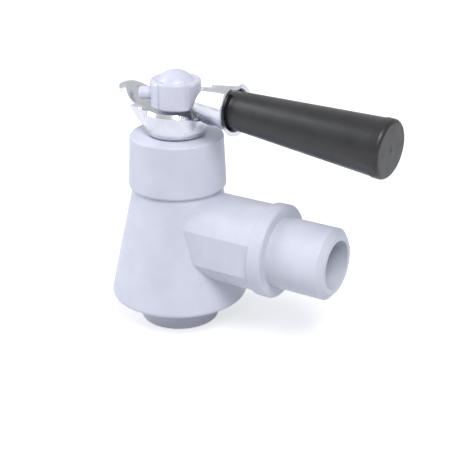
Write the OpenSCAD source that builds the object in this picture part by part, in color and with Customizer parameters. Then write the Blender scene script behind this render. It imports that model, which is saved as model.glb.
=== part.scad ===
// Self-closing dispensing faucet: a moulded bell body on a threaded side shank, a screwed bonnet,
// a spring-closed seat cup on a stem, and a sheet-metal rocking lever with a tapered grip.
// Millimetres, +Z up. The origin is the middle of the shank at the flange's sealing face,
// and +X runs along the shank, away from the bell.

/* [Shank] */
// Outside diameter over the shank's thread
thread_d = 26.2; // [22:0.1:32]
// Length of the shank from the flange's sealing face
shank_len = 21.8; // [16:0.1:40]
// Diameter of the inlet bore
inlet_d = 17.9; // [12:0.1:19]
// Diameter of the flange
flange_d = 34.7; // [32:0.1:42]
// Thickness of the flange
flange_t = 5.5; // [3:0.1:8]
// Diameter of the side neck
neck_d = 32.6; // [30:0.1:33]
// Width across the neck's two wrench flats
neck_across_flats = 30; // [28:0.1:32]

/* [Bell] */
// Distance from the flange's sealing face to the bell's axis
bell_reach = 45.4; // [40:0.1:60]
// Height of the bell's shoulder over the shank's axis
shoulder_z = 17.1; // [16.8:0.1:18]
// Diameter of the bell at its shoulder
bell_top_d = 33.8; // [33:0.1:36]
// Diameter of the bell at its lower rim
bell_rim_d = 52.2; // [48:0.1:58]
// Depth of the lower rim under the shank's axis
bell_rim_z = 26.5; // [24:0.1:30]
// Thickness of the bell's skirt
skirt_wall = 2.8; // [2:0.1:3.5]
// Outside diameter of the spout tube
spout_d = 30.3; // [28:0.1:32]
// Diameter of the spout's bore
outlet_d = 24; // [18:0.1:25]
// Depth of the spout's mouth under the shank's axis
spout_z = 36.8; // [32:0.1:45]
// Diameter of the hole that the seat cup closes
seat_hole_d = 17.2; // [14:0.1:17.4]

/* [Bonnet] */
// Diameter of the bonnet at its base
bonnet_base_d = 36.7; // [36:0.1:38]
// Diameter of the bonnet at its top edge
bonnet_top_d = 34.9; // [34:0.1:36]
// Height of the bonnet's top over the shank's axis
bonnet_top_z = 37.3; // [37.3:0.1:37.3]

/* [Stem] */
// Diameter of the stem
stem_d = 6; // [5:0.1:6.4]
// Diameter of the stem's head between its ribs
head_d = 18.6; // [18:0.1:19]
// How far the head's four ribs stand out
rib_proud = 0.45; // [0.2:0.05:0.6]
// Angle that the head's ribs are turned from the lever
head_turn = 32; // [30:1:33]
// Diameter of the two lugs on the head
lug_d = 4.7; // [4:0.1:5]
// Reach of the lugs from the stem's axis
lug_reach = 13.5; // [12:0.1:13.5]

/* [Spring] */
// Wire diameter of the spring
wire_d = 1.3; // [1:0.1:1.5]
// Mean diameter of the spring's coils
coil_d = 14; // [13:0.1:15]
// Number of the spring's turns
coil_turns = 6; // [4:1:7]

/* [Lever] */
// Angle that the lever is turned from the shank
lever_turn = 3.85; // [0:0.05:20]
// Thickness of the lever's sheet
sheet_t = 1.5; // [1:0.1:1.6]
// Outside diameter of the lever's bowl at its bottom edge
bowl_d = 22.2; // [21.6:0.1:23]
// Outside radius of the bowl's bottom edge
bowl_edge_r = 1.9; // [1.7:0.1:2.4]
// Height of the bowl's rim over its base
bowl_h = 9.6; // [9:0.1:10]
// Diameter of the hole in the bowl's floor
floor_hole_d = 8.6; // [8:0.1:9]
// Reach of the tail's lip from the stem's axis
tail_reach = 25.8; // [24.5:0.1:27]
// Height of the tail's crest over the bowl's rim
tail_rise = 5.7; // [4.5:0.1:6.5]
// Radius of the tail's rounded end
tail_end_r = 7.7; // [7.2:0.1:8.4]
// Distance of the tail's round end's centre behind the stem's axis
tail_centre = 12.5; // [11.5:0.1:13]

/* [Grip] */
// Angle that the grip droops
grip_droop = 2.55; // [0:0.05:5]
// Height of the grip's axis over the bowl's base, at the stem's axis
grip_axis_h = 14.6; // [14:0.1:15]
// Diameter of the grip where it enters the socket
grip_root_d = 13.7; // [13:0.1:14]
// Diameter of the grip at its end bead
grip_end_d = 20; // [16:0.1:24]
// Distance from the stem's axis to the grip's end
grip_end = 87.7; // [60:0.1:120]

/* [Hidden] */
$fn = 96;
// Clearances: seated faces, running fits and the lever over the bonnet
seat_gap = 0.05;
running_gap = 0.08;
rest_gap = 0.1;
cut = 1;

// Radii and heights that follow from the driving dimensions
bell_slope = (bell_rim_d - bell_top_d) / 2 / (shoulder_z + bell_rim_z);
function bell_r(z) = bell_top_d / 2 + (shoulder_z - z) * bell_slope;
chamber_r = 12.5;
seat_top_z = -16.5;
seat_t = 3;
core_top_z = -13;
collar_r = 15.9;
collar_top_z = 26;
bonnet_inner_r = collar_r + 0.2;
bonnet_ledge_z = collar_top_z + 2;
bonnet_chamber_r = 12.6;
spring_top_z = bonnet_top_z - 3.8;
guide_r = 5.4;
guide_z = 30;
clip_z = 13;
clip_t = 0.8;
washer_z = clip_z + clip_t + seat_gap;
washer_t = 1.2;
washer_r = 9;
spring_low_z = washer_z + washer_t;
base_z = bonnet_top_z + rest_gap;
floor_z = base_z + sheet_t;
head_low_z = 47.9;
head_rim_z = 58.1;
dome_r = 7.9;
dome_z = 53.5;
lug_z = 52.6;
boss_r = 5.5;
stem_r = stem_d / 2;
stem_top_z = 55;
stem_low_z = -15.5;
knob_r = 4.2;
grip_axis_z = base_z + grip_axis_h;

// Socket that holds the grip: distances from the stem's axis and radii about the grip's axis
socket_start_r = 6.25;
socket_slope = 0.155;
socket_mouth = 27;
flare_start = 25;
flare_rise = 1;
slot_angle = 20;

// Points of an arc about (cx, cy), from angle a0 to a1
function arc(cx, cy, r, a0, a1, n = 6) =
    [for (i = [0:n]) let (a = a0 + (a1 - a0) * i / n) [cx + r * cos(a), cy + r * sin(a)]];

// Places on the bell's axis, on the lever and on the grip's axis
module on_bell() translate([-bell_reach, 0, 0]) children();
module on_lever() on_bell() rotate([0, 0, -lever_turn]) children();
module on_grip() on_lever() translate([0, 0, grip_axis_z]) rotate([0, 90 + grip_droop, 0]) children();

// Turns a profile of (radius, distance) round the shank, the distance running along +X
module turn_on_shank(points) rotate([0, 90, 0]) rotate_extrude() polygon(points);

// The bell's outside: a cone from the shoulder to a rounded lower rim, with the collar for the bonnet
module bell_outside() {
    edge_r = 1.5;
    rim_r = bell_rim_d / 2;
    rotate_extrude() polygon(concat(
        [[0, -bell_rim_z]],
        arc(rim_r - edge_r, -bell_rim_z + edge_r, edge_r, -90, 12),
        [[bell_top_d / 2, shoulder_z], [collar_r, shoulder_z], [collar_r, collar_top_z - 0.5],
            [collar_r - 0.5, collar_top_z], [0, collar_top_z]]));
}

// The spout tube with a rounded mouth
module spout_outside() {
    edge_r = 0.8;
    rotate_extrude() polygon(concat(
        [[0, -spout_z]],
        arc(spout_d / 2 - edge_r, -spout_z + edge_r, edge_r, -90, 0),
        [[spout_d / 2, core_top_z + cut], [0, core_top_z + cut]]));
}

// The side neck with its two flats
module neck() {
    intersection() {
        translate([-bell_reach, 0, 0]) rotate([0, 90, 0]) cylinder(d = neck_d, h = bell_reach - flange_t / 2);
        translate([-bell_reach, -neck_across_flats / 2, -neck_d])
            cube([bell_reach, neck_across_flats, 2 * neck_d]);
    }
}

// The flange with rounded edges, and the shank with its tapered tip
module flange_and_shank() {
    edge_r = 0.9;
    tip_len = 1.9;
    tip_r = 10.8;
    flange_r = flange_d / 2;
    thread_r = thread_d / 2;
    turn_on_shank(concat(
        [[0, -flange_t]],
        arc(flange_r - edge_r, -flange_t + edge_r, edge_r, -90, 0),
        arc(flange_r - edge_r, -edge_r, edge_r, 0, 90),
        [[thread_r, 0], [thread_r, shank_len - tip_len], [tip_r, shank_len], [0, shank_len]]));
}

// The hollow in the bell's underside, between the skirt and the spout tube
module underside_hollow() {
    corner_r = 1.5;
    top_r = bell_r(core_top_z) - skirt_wall;
    low_z = -bell_rim_z - cut;
    rotate_extrude() polygon(concat(
        [[spout_d / 2, low_z], [bell_r(low_z) - skirt_wall, low_z]],
        arc(top_r - corner_r, core_top_z - corner_r, corner_r, 12, 90),
        arc(spout_d / 2 + corner_r, core_top_z - corner_r, corner_r, 90, 180)));
}

// The seat chamber over the seat's chamfered hole, and the spout's bore under it
module flow_path() {
    hole_r = seat_hole_d / 2;
    chamfer = 1.8;
    rotate_extrude() polygon([[0, -spout_z - cut], [outlet_d / 2, -spout_z - cut],
        [outlet_d / 2, seat_top_z - seat_t], [hole_r, seat_top_z - seat_t],
        [hole_r, seat_top_z - chamfer], [hole_r + chamfer, seat_top_z], [chamber_r, seat_top_z],
        [chamber_r, collar_top_z + cut], [0, collar_top_z + cut]]);
}

module faucet_body() {
    color("#dfe3ec") difference() {
        union() {
            on_bell() bell_outside();
            on_bell() spout_outside();
            neck();
            flange_and_shank();
        }
        on_bell() underside_hollow();
        on_bell() flow_path();
        translate([-bell_reach, 0, 0]) rotate([0, 90, 0]) cylinder(d = inlet_d, h = bell_reach + shank_len + cut);
    }
}

// The bonnet: a cap that screws over the collar, with a guide for the stem inside
module bonnet() {
    low_z = shoulder_z + 0.15;
    low_edge = 1.2;
    top_edge = 0.8;
    hole_r = stem_r + running_gap;
    base_r = bonnet_base_d / 2;
    top_r = bonnet_top_d / 2;
    color("#dde1ea") on_bell() rotate_extrude() polygon(concat(
        [[bonnet_inner_r, low_z]],
        arc(base_r - low_edge, low_z + low_edge, low_edge, -60, 0),
        arc(top_r - top_edge, bonnet_top_z - top_edge, top_edge, 0, 90),
        [[hole_r, bonnet_top_z], [hole_r, guide_z], [guide_r, guide_z], [guide_r, spring_top_z],
            [bonnet_chamber_r, spring_top_z], [bonnet_chamber_r, bonnet_ledge_z],
            [bonnet_inner_r, bonnet_ledge_z]]));
}

// The rubber seat cup: a clamped flange, a thin wall and a nose that closes the seat
module seat_cup() {
    flange_r = 15.8;
    wall = 1.6;
    wide_r = 9.6;
    narrow_r = 5.2;
    nose_r = 10.2;
    nose_z = seat_top_z + 1.5;
    tip_r = 5.5;
    tip_z = nose_z - (nose_r - tip_r);
    pocket_r = knob_r + 0.1;
    pocket_top = -9.4;
    color("#8f9499") on_bell() rotate_extrude() polygon([
        [0, tip_z], [tip_r, tip_z], [nose_r, nose_z], [nose_r - 0.6, nose_z + 1.5],
        [narrow_r + wall, -9], [narrow_r + wall, 9], [wide_r + wall, 14],
        [wide_r + wall, collar_top_z + seat_gap], [flange_r, collar_top_z + seat_gap],
        [flange_r, bonnet_ledge_z - seat_gap], [wide_r, bonnet_ledge_z - seat_gap],
        [wide_r, 12], [narrow_r, 8], [narrow_r, -8], [stem_r + 0.15, -8.4],
        [stem_r + 0.15, pocket_top], [pocket_r, pocket_top - 0.8], [pocket_r, stem_low_z - 0.1],
        [0, stem_low_z - 0.1]]);
}

// The stem: a rod with a knob that snaps into the seat cup, and a groove for the clip
module stem() {
    groove_r = 2.3;
    knob_top = -10.6;
    edge = 0.8;
    color("#b9bdc4") on_bell() rotate_extrude() polygon([
        [0, stem_low_z], [knob_r - edge, stem_low_z], [knob_r, stem_low_z + edge],
        [knob_r, knob_top - edge], [stem_r, knob_top + edge / 2], [stem_r, clip_z],
        [groove_r, clip_z], [groove_r, clip_z + clip_t], [stem_r, clip_z + clip_t],
        [stem_r, stem_top_z - 0.5], [stem_r - 0.5, stem_top_z], [0, stem_top_z]]);
}

// The clip in the stem's groove: a ring with a gap on one side and two reliefs
module stem_clip() {
    clip_r = 5.2;
    inner_r = 2.3;
    relief_r = 3.5;
    color("#6f7379") on_bell() translate([0, 0, clip_z + 0.02]) linear_extrude(clip_t - 0.04) difference() {
        circle(r = clip_r);
        circle(r = inner_r);
        translate([0, -inner_r]) square([2 * clip_r, 2 * inner_r]);
        for (side = [-1, 1]) rotate(side * 90) intersection() {
            circle(r = relief_r);
            rotate(-25) square([clip_r, clip_r]);
            rotate(-65) square([clip_r, clip_r]);
        }
    }
}

// The washer that the spring pushes on, with a rim that centres the spring
module spring_washer() {
    hole_r = stem_r + running_gap;
    rim = 0.8;
    rim_h = 1.3;
    color("#b9bdc4") on_bell() rotate_extrude() polygon([
        [hole_r, washer_z], [washer_r, washer_z], [washer_r, washer_z + washer_t + rim_h],
        [washer_r - rim, washer_z + washer_t + rim_h], [washer_r - rim, washer_z + washer_t],
        [hole_r, washer_z + washer_t]]);
}

// The closing spring: one wire swept along a helix, whose end turns lie flat
spring_sides = 8;
spring_steps = 20;
function spring_height(turn) =
    let (closed = 0.75, low = spring_low_z + wire_d / 2 + seat_gap, high = spring_top_z - wire_d / 2 - seat_gap,
        share = (turn - closed) / (coil_turns - 2 * closed))
    low + (high - low) * min(1, max(0, share));
function spring_point(i, j) =
    let (turn = i / spring_steps, side = 360 * j / spring_sides, r = coil_d / 2 + wire_d / 2 * cos(side))
    [r * cos(360 * turn), r * sin(360 * turn), spring_height(turn) + wire_d / 2 * sin(side)];
module spring() {
    last = coil_turns * spring_steps;
    n = spring_sides;
    points = [for (i = [0:last]) for (j = [0:n - 1]) spring_point(i, j)];
    skin = [for (i = [0:last - 1]) for (j = [0:n - 1])
        let (k = (j + 1) % n) [i * n + j, i * n + k, (i + 1) * n + k, (i + 1) * n + j]];
    first_cap = [for (j = [n - 1:-1:0]) j];
    last_cap = [for (j = [0:n - 1]) last * n + j];
    color("#a4a8ae") on_bell() polyhedron(points, concat(skin, [first_cap, last_cap]), convexity = 6);
}

// The head on the stem: a domed knob with four ribs, two lugs and a foot that the lever lifts
module head_round() {
    r = head_d / 2;
    low_edge = 0.7;
    top_edge = 1.2;
    dome_start = asin((head_rim_z - 0.4 - dome_z) / dome_r);
    rotate_extrude() polygon(concat(
        [[0, floor_z + rest_gap], [boss_r - 0.4, floor_z + rest_gap], [boss_r, floor_z + rest_gap + 0.4],
            [boss_r, head_low_z]],
        arc(r - low_edge, head_low_z + low_edge, low_edge, -90, 0),
        arc(r - top_edge, head_rim_z - top_edge, top_edge, 0, 90),
        arc(0, dome_z, dome_r, dome_start, 90, 12)));
}
module head_ribs() {
    rib_angle = 16;
    low_edge = 0.9;
    top_edge = 1.5;
    r = head_d / 2 + rib_proud;
    for (i = [0:3]) rotate([0, 0, 45 + 90 * i]) intersection() {
        rotate_extrude() polygon(concat(
            [[boss_r, head_low_z + low_edge]],
            arc(r - low_edge, head_low_z + low_edge, low_edge, -60, 0),
            arc(r - top_edge, head_rim_z - top_edge, top_edge, 0, 80),
            [[boss_r, head_rim_z - 0.2]]));
        linear_extrude(100) polygon([[0, 0], [2 * r, -2 * r * tan(rib_angle / 2)],
            [2 * r, 2 * r * tan(rib_angle / 2)]]);
    }
}
module head_lugs() {
    edge = 0.9;
    r = lug_d / 2;
    translate([0, 0, lug_z]) for (side = [-1, 1]) rotate([0, 90 * side, 0]) rotate_extrude() polygon(concat(
        [[0, 0], [r, 0]], arc(r - edge, lug_reach - edge, edge, 0, 90), [[0, lug_reach]]));
}
module stem_head() {
    color("#e4e6f0") on_lever() rotate([0, 0, head_turn]) difference() {
        union() {
            head_round();
            head_ribs();
            head_lugs();
        }
        cylinder(d = stem_d + 0.04, h = stem_top_z + 0.3);
    }
}

// Smooth largest of two values, blended over a width of k
function smooth_max(a, b, k) = max(a, b) + pow(max(0, k - abs(a - b)), 2) / (4 * k);

// The lever's bowl and tail, as the middle of the sheet. Azimuth 0 is the grip, 180 the tail.
rim_mid_r = bowl_d / 2 + 0.05;
wall_top = bowl_h - 0.7;
lip_edge = tail_reach - tail_centre - tail_end_r;
function ease(t) = let (u = min(1, max(0, t))) u * u * (3 - 2 * u);
function off_tail(az) = abs(az - 180);
function off_grip(az) = 180 - off_tail(az);
function tail_end_at(d) =
    let (across = tail_centre * sin(d))
    d > 88 || across > tail_end_r ? 0 : tail_centre * cos(d) + sqrt(pow(tail_end_r, 2) - pow(across, 2));
function crest_r(az) = smooth_max(rim_mid_r, tail_end_at(off_tail(az)), 2);
function crest_back(az) = max(0, crest_r(az) * cos(off_tail(az))) / (tail_centre + tail_end_r);
function crest_z(az) =
    base_z + wall_top + tail_rise * pow(crest_back(az), 3.2) - 2 * exp(-pow(off_grip(az) / 30, 2));
// The edge past the crest: a narrow flare round the rim, which widens into the pouring lip at the tail
function edge_out(az) =
    let (d = off_tail(az), lip = ease((72 - d) / 32), grip = ease((off_grip(az) - 25) / 30))
    grip * (0.6 + 0.9 * lip) + 0.1 + (lip_edge - 1.6) * pow(max(0, 1 - sqrt(d * d + 9) / 28), 1.6) * 1.2;
function edge_up(az) =
    let (lip = ease((72 - off_tail(az)) / 32), grip = ease((off_grip(az) - 25) / 30))
    0.3 + grip * (0.4 - lip);
function sheet_profile(az) =
    let (mid_edge = bowl_edge_r - sheet_t / 2, edge_r = bowl_d / 2 - bowl_edge_r, edge_z = base_z + bowl_edge_r,
        top = [crest_r(az), crest_z(az)], out = (top[0] - rim_mid_r) / (tail_centre + tail_end_r - rim_mid_r),
        foot_lean = 46 * ease((80 - off_tail(az)) / 40), top_lean = 12 - 2 * min(1, out),
        foot = [edge_r + mid_edge * cos(foot_lean), edge_z - mid_edge * sin(foot_lean)],
        edge = [edge_out(az), edge_up(az)], span = norm(top - foot),
        rise = [sin(foot_lean), cos(foot_lean)], up = [sin(top_lean), cos(top_lean)])
    concat(
        [[floor_hole_d / 2, base_z + sheet_t / 2]],
        arc(edge_r, edge_z, mid_edge, -90, -foot_lean, 4),
        [for (i = [1:6]) bezier3(foot, foot + 0.45 * span * rise, top - 0.35 * span * up, top, i / 6)],
        [for (i = [1:4]) bezier2(top, top + 0.45 * norm(edge) * up, top + edge, i / 4)]);
function bezier3(a, b, c, d, t) =
    pow(1 - t, 3) * a + 3 * pow(1 - t, 2) * t * b + 3 * (1 - t) * t * t * c + pow(t, 3) * d;
function bezier2(a, b, c, t) = pow(1 - t, 2) * a + 2 * (1 - t) * t * b + t * t * c;
function across_line(p, i) =
    let (a = p[max(0, i - 1)], b = p[min(len(p) - 1, i + 1)], d = (b - a) / norm(b - a)) [d[1], -d[0]];
function sheet_loop(az) =
    let (p = sheet_profile(az), n = len(p))
    concat([for (i = [0:n - 1]) p[i] + across_line(p, i) * sheet_t / 2],
        [for (i = [n - 1:-1:0]) p[i] - across_line(p, i) * sheet_t / 2]);
module bowl_and_tail() {
    columns = 90;
    loops = [for (c = [0:columns - 1]) sheet_loop(360 * c / columns)];
    n = len(loops[0]);
    points = [for (c = [0:columns - 1]) for (q = loops[c])
        [q[0] * cos(360 * c / columns), q[0] * sin(360 * c / columns), q[1]]];
    faces = [for (c = [0:columns - 1]) for (j = [0:n - 1])
        let (e = (c + 1) % columns, k = (j + 1) % n) [c * n + j, c * n + k, e * n + k, e * n + j]];
    polyhedron(points, faces, convexity = 8);
}

// The socket: a rolled tube about the grip's axis, open along its top, with a V-shaped underside
// near the bowl and a flared mouth. The angle runs from the top, round either side.
function socket_r(d) = socket_start_r + socket_slope * (d - 13) + flare_rise * pow(max(0, d - flare_start) / 2, 2);
function fade(d) = let (t = min(1, max(0, (24 - d) / 10))) t * t * (3 - 2 * t);
function socket_out(d, angle) =
    let (fold = 109, r = socket_r(d), deep = r + 2.2 * fade(d),
        chord = r * deep * sin(180 - fold) / (r * sin(angle - fold) + deep * sin(180 - angle)))
    angle <= fold ? r : r + (chord - r) * fade(d) * 0.8;
function socket_start(angle) =
    let (turned = angle > 180 ? 360 - angle : angle, side = socket_start_r * sin(turned),
        free_edge = 12.9 + 2.1 * pow(max(0, cos(turned)), 1.3), wall = sqrt(pow(rim_mid_r - 0.2, 2) - side * side))
    free_edge + (wall - free_edge) * ease((turned - 88) / 34);
function socket_point(u, angle, inward) =
    let (d = socket_start(angle) + (socket_mouth - socket_start(angle)) * u,
        turned = angle > 180 ? 360 - angle : angle, r = socket_out(d, turned) - inward,
        droop = d * tan(grip_droop))
    [d, r * sin(angle), grip_axis_z - droop + r * cos(angle)];
module socket() {
    stations = [0, 0.15, 0.3, 0.45, 0.6, 0.75, 0.85, 0.9, 0.95, 1];
    across = 40;
    angles = [for (j = [0:across]) slot_angle + (360 - 2 * slot_angle) * j / across];
    loops = [for (u = stations) concat([for (a = angles) socket_point(u, a, 0)],
        [for (j = [across:-1:0]) socket_point(u, angles[j], sheet_t)])];
    n = len(loops[0]);
    last = len(stations) - 1;
    points = [for (loop = loops) for (q = loop) q];
    skin = [for (i = [0:last - 1]) for (j = [0:n - 1])
        let (k = (j + 1) % n) [i * n + j, i * n + k, (i + 1) * n + k, (i + 1) * n + j]];
    first_cap = [for (j = [0:across - 1]) [j, n - 1 - j, n - 2 - j, j + 1]];
    last_cap = [for (j = [0:across - 1])
        let (b = last * n) [b + j, b + j + 1, b + n - 2 - j, b + n - 1 - j]];
    polyhedron(points, concat(skin, first_cap, last_cap), convexity = 8);
}
module lever_cup() {
    color("#a9afb8") on_lever() union() {
        bowl_and_tail();
        socket();
    }
}

// The grip: a tapered handle with an end bead and a root that fills the socket
module grip() {
    root_start = 15;
    shoulder = 25.4;
    body_start = 27.5;
    bead_len = 2.3;
    face_edge = 1.6;
    bead_start = grip_end - face_edge - bead_len;
    end_r = grip_end_d / 2;
    taper = (end_r - grip_root_d / 2) / (bead_start - body_start);
    root_gap = sheet_t + rest_gap;
    function root_r(d) = socket_r(d) - root_gap - 1.3 * fade(d);
    color("#17181a") on_grip() rotate_extrude() polygon(concat(
        [[0, root_start], [root_r(root_start) - 0.8, root_start]],
        [for (d = [root_start + 0.8:2:shoulder - 1]) [root_r(d), d]],
        [[socket_r(shoulder) - root_gap, shoulder],
            [grip_root_d / 2 - taper * (body_start - shoulder - 0.8), shoulder + 0.8],
            [grip_root_d / 2, body_start], [end_r - 0.15, bead_start], [end_r + 0.1, bead_start + 0.3]],
        arc(end_r - face_edge + 0.1, grip_end - face_edge, face_edge, 0, 75),
        [[0, grip_end]]));
}

faucet_body();
bonnet();
seat_cup();
stem();
stem_clip();
spring_washer();
spring();
stem_head();
lever_cup();
grip();
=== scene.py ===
import bmesh
import bpy
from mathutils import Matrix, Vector


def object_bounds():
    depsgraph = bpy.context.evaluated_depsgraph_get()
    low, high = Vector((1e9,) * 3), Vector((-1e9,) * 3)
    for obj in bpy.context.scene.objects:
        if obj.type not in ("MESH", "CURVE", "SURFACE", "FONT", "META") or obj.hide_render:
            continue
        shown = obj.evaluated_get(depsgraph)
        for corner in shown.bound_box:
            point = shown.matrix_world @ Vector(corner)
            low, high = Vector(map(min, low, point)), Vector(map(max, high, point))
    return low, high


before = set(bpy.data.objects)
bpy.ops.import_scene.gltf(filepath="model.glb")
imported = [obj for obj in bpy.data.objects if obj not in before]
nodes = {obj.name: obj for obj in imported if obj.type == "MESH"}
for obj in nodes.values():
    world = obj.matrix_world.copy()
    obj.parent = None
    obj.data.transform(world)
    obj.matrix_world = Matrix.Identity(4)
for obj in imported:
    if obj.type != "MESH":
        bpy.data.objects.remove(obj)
cad_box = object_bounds()
scene = bpy.context.scene


def new_material(name):
    """An empty node material with one shader: (material, node tree, shader)."""
    mat = bpy.data.materials.new(name)
    mat.use_nodes = True
    tree = mat.node_tree
    tree.nodes.clear()
    out = tree.nodes.new("ShaderNodeOutputMaterial")
    shader = tree.nodes.new("ShaderNodeBsdfPrincipled")
    tree.links.new(shader.outputs[0], out.inputs[0])
    return mat, tree, shader


def noise(tree, scale, detail=4.0, rough=0.5):
    """Noise over the object's own coordinates, in metres."""
    coords = tree.nodes.new("ShaderNodeTexCoord")
    tex = tree.nodes.new("ShaderNodeTexNoise")
    tex.inputs["Scale"].default_value = scale
    tex.inputs["Detail"].default_value = detail
    tex.inputs["Roughness"].default_value = rough
    tree.links.new(coords.outputs["Object"], tex.inputs["Vector"])
    return tex.outputs["Fac"]


def ramp(tree, value, stops):
    """A colour ramp over value. A stop is (position, colour or grey)."""
    node = tree.nodes.new("ShaderNodeValToRGB")
    el = node.color_ramp.elements
    while len(el) < len(stops):
        el.new(0.5)
    for e, (pos, col) in zip(el, stops):
        e.position = pos
        e.color = (*col, 1) if isinstance(col, tuple) else (col, col, col, 1)
    tree.links.new(value, node.inputs[0])
    return node.outputs[0]


def bump(tree, height, strength, distance):
    node = tree.nodes.new("ShaderNodeBump")
    node.inputs["Strength"].default_value = strength
    node.inputs["Distance"].default_value = distance
    tree.links.new(height, node.inputs["Height"])
    return node.outputs[0]


def plastic(name, low, high, gloss, grain=0.00002):
    """Moulded plastic or rubber: faint clouds of colour, uneven gloss and a fine grain."""
    mat, tree, shader = new_material(name)
    tree.links.new(ramp(tree, noise(tree, 90, 5), [(0.35, low), (0.7, high)]), shader.inputs["Base Color"])
    tree.links.new(ramp(tree, noise(tree, 260, 5), [(0.3, gloss - 0.05), (0.75, gloss + 0.07)]),
                   shader.inputs["Roughness"])
    tree.links.new(bump(tree, noise(tree, 900, 3), 0.25, grain), shader.inputs["Normal"])
    shader.inputs["IOR"].default_value = 1.5
    return mat


def metal(name, low, high, gloss, grain=0.00002):
    """Plain or plated steel: clouded colour, uneven gloss and a fine grain."""
    mat, tree, shader = new_material(name)
    shader.inputs["Metallic"].default_value = 1.0
    tree.links.new(ramp(tree, noise(tree, 120, 6), [(0.3, low), (0.75, high)]), shader.inputs["Base Color"])
    tree.links.new(ramp(tree, noise(tree, 300, 6, 0.6), [(0.3, gloss - 0.05), (0.75, gloss + 0.08)]),
                   shader.inputs["Roughness"])
    tree.links.new(bump(tree, noise(tree, 700, 4, 0.6), 0.2, grain), shader.inputs["Normal"])
    return mat


white_plastic = plastic("white_plastic", (0.60, 0.62, 0.70), (0.66, 0.68, 0.76), 0.38)
head_plastic = plastic("head_plastic", (0.64, 0.65, 0.74), (0.70, 0.71, 0.80), 0.34)
black_plastic = plastic("black_plastic", (0.010, 0.010, 0.011), (0.016, 0.016, 0.018), 0.36, 0.00004)
rubber = plastic("seat_rubber", (0.20, 0.21, 0.22), (0.26, 0.27, 0.28), 0.6, 0.00006)
zinc_steel = metal("zinc_steel", (0.56, 0.57, 0.62), (0.68, 0.69, 0.74), 0.24)
stem_steel = metal("stem_steel", (0.55, 0.56, 0.58), (0.66, 0.67, 0.69), 0.25)
spring_steel = metal("spring_steel", (0.42, 0.43, 0.45), (0.52, 0.53, 0.55), 0.3)

NODE_MATERIALS = {
    "faucet_body": white_plastic, "bonnet": white_plastic, "seat_cup": rubber, "stem": stem_steel,
    "stem_clip": spring_steel, "spring_washer": stem_steel, "spring": spring_steel,
    "stem_head": head_plastic, "lever_cup": zinc_steel, "grip": black_plastic,
}
for name, mat in NODE_MATERIALS.items():
    nodes[name].data.materials.clear()
    nodes[name].data.materials.append(mat)


def seen_directly(tree):
    """1 for what the camera sees, also by reflection or through glass, and 0 for light that bounces."""
    path = tree.nodes.new("ShaderNodeLightPath")
    seen = tree.nodes.new("ShaderNodeMath")
    seen.operation = "MAXIMUM"
    tree.links.new(path.outputs["Is Camera Ray"], seen.inputs[0])
    other = tree.nodes.new("ShaderNodeMath")
    other.operation = "MAXIMUM"
    tree.links.new(path.outputs["Is Glossy Ray"], other.inputs[0])
    tree.links.new(path.outputs["Is Transmission Ray"], other.inputs[1])
    tree.links.new(other.outputs[0], seen.inputs[1])
    return seen.outputs[0]


def make_floor(z):
    """A pale floor that looks white and keeps the object's shadow."""
    mesh = bpy.data.meshes.new("floor")
    bm = bmesh.new()
    half = 3.0
    corners = ((-half, -half), (half, -half), (half, half), (-half, half))
    bm.faces.new([bm.verts.new((x, y, z)) for x, y in corners])
    bm.to_mesh(mesh)
    bm.free()
    floor = bpy.data.objects.new("floor", mesh)
    scene.collection.objects.link(floor)
    mat = bpy.data.materials.new("floor_white")
    mat.use_nodes = True
    tree = mat.node_tree
    tree.nodes.clear()
    out = tree.nodes.new("ShaderNodeOutputMaterial")
    diffuse = tree.nodes.new("ShaderNodeBsdfDiffuse")
    diffuse.inputs["Color"].default_value = (0.62, 0.62, 0.62, 1)
    glow = tree.nodes.new("ShaderNodeEmission")
    glow.inputs["Strength"].default_value = 0.62
    both = tree.nodes.new("ShaderNodeAddShader")
    tree.links.new(diffuse.outputs[0], both.inputs[0])
    tree.links.new(glow.outputs[0], both.inputs[1])
    mix = tree.nodes.new("ShaderNodeMixShader")
    tree.links.new(seen_directly(tree), mix.inputs[0])
    tree.links.new(diffuse.outputs[0], mix.inputs[1])
    tree.links.new(both.outputs[0], mix.inputs[2])
    tree.links.new(mix.outputs[0], out.inputs[0])
    mesh.materials.append(mat)


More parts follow.
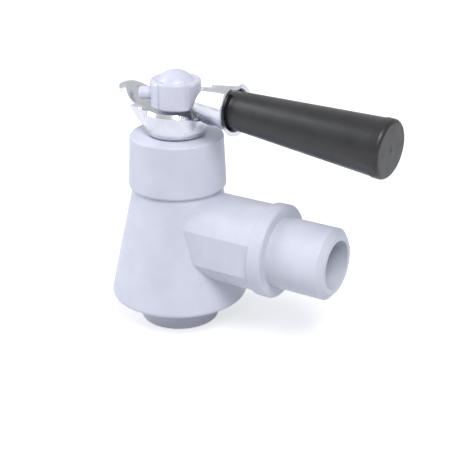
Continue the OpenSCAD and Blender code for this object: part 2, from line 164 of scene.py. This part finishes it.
def make_world():
    """A white backdrop, and a plain bluish fill for the object."""
    world = bpy.data.worlds.new("studio")
    scene.world = world
    world.use_nodes = True
    tree = world.node_tree
    tree.nodes.clear()
    out = tree.nodes.new("ShaderNodeOutputWorld")
    plain = tree.nodes.new("ShaderNodeBackground")
    plain.inputs["Color"].default_value = (0.80, 0.84, 1.0, 1)
    plain.inputs["Strength"].default_value = 0.45
    seen = tree.nodes.new("ShaderNodeBackground")
    seen.inputs["Strength"].default_value = 1.0
    mix = tree.nodes.new("ShaderNodeMixShader")
    tree.links.new(seen_directly(tree), mix.inputs[0])
    tree.links.new(plain.outputs[0], mix.inputs[1])
    tree.links.new(seen.outputs[0], mix.inputs[2])
    tree.links.new(mix.outputs[0], out.inputs[0])


def area_lamp(name, place, aim, size, power, colour):
    """A soft rectangular lamp at place that points at aim."""
    light = bpy.data.lights.new(name, "AREA")
    light.shape = "RECTANGLE"
    light.size, light.size_y = size
    light.energy = power
    light.color = colour
    lamp = bpy.data.objects.new(name, light)
    lamp.location = place
    lamp.rotation_euler = (Vector(aim) - Vector(place)).to_track_quat("-Z", "Y").to_euler()
    scene.collection.objects.link(lamp)


def make_camera():
    """The photograph's viewing angle: place and direction in the part's frame, in metres."""
    cam = bpy.data.cameras.new("photo_camera")
    cam.sensor_fit = "HORIZONTAL"
    cam.sensor_width = 36.0
    cam.lens = 81.56
    cam.clip_start = 0.01
    camera = bpy.data.objects.new("photo_camera", cam)
    camera.location = (0.1636, -0.3027, 0.1573)
    camera.rotation_euler = Vector((-0.4803, 0.7820, -0.3972)).to_track_quat("-Z", "Y").to_euler()
    scene.collection.objects.link(camera)
    scene.camera = camera


CENTRE = (-0.02, 0.0, 0.01)
make_floor(cad_box[0][2] - 0.0002)
make_world()
area_lamp("key_lamp", (0.5, -0.5, 0.9), CENTRE, (0.5, 0.5), 9.0, (1.0, 0.99, 0.97))
area_lamp("side_lamp", (-0.8, -0.3, 0.5), CENTRE, (0.5, 0.8), 5.0, (0.92, 0.95, 1.0))
make_camera()
scene.view_settings.view_transform = "Standard"
